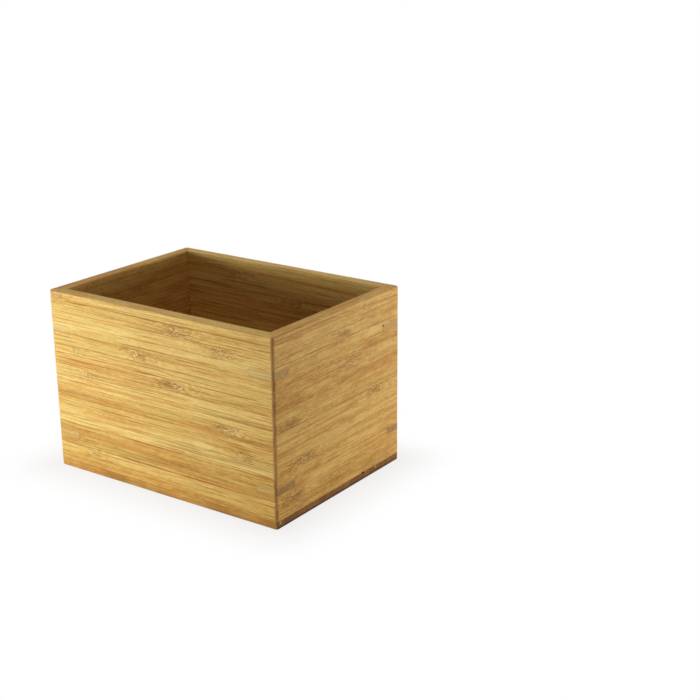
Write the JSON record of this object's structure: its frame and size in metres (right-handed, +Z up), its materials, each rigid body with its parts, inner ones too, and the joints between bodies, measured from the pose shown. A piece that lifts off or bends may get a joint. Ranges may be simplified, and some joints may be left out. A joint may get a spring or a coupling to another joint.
{
  "type": "utensil holder",
  "caption": "Open-topped rectangular bamboo caddy with thick mitred walls, keyed corners and a flat glued base, for standing utensils and napkins in.",
  "frame": {"origin": "middle of the underside, on the surface that the holder stands on", "axes": "+X to the right along the long front wall, +Y from the front wall to the back wall, +Z up through the open top"},
  "size_m": [0.177, 0.129, 0.118],
  "materials": {
    "wall_bamboo": "satin lacquered laminated bamboo, edge grain strips running level round the box",
    "base_bamboo": "satin lacquered laminated bamboo, grain along the long side",
    "key_bamboo": "satin lacquered bamboo slip, sanded flush"
  },
  "bodies": {
    "root": {"front_wall": "wall_bamboo", "right_wall": "wall_bamboo", "back_wall": "wall_bamboo", "left_wall": "wall_bamboo", "base_panel": "base_bamboo", "front_left_key_lower": "key_bamboo", "front_left_key_upper": "key_bamboo", "front_right_key_lower": "key_bamboo", "front_right_key_upper": "key_bamboo", "back_right_key_lower": "key_bamboo", "back_right_key_upper": "key_bamboo", "back_left_key_lower": "key_bamboo", "back_left_key_upper": "key_bamboo"}
  },
  "joints": []
}
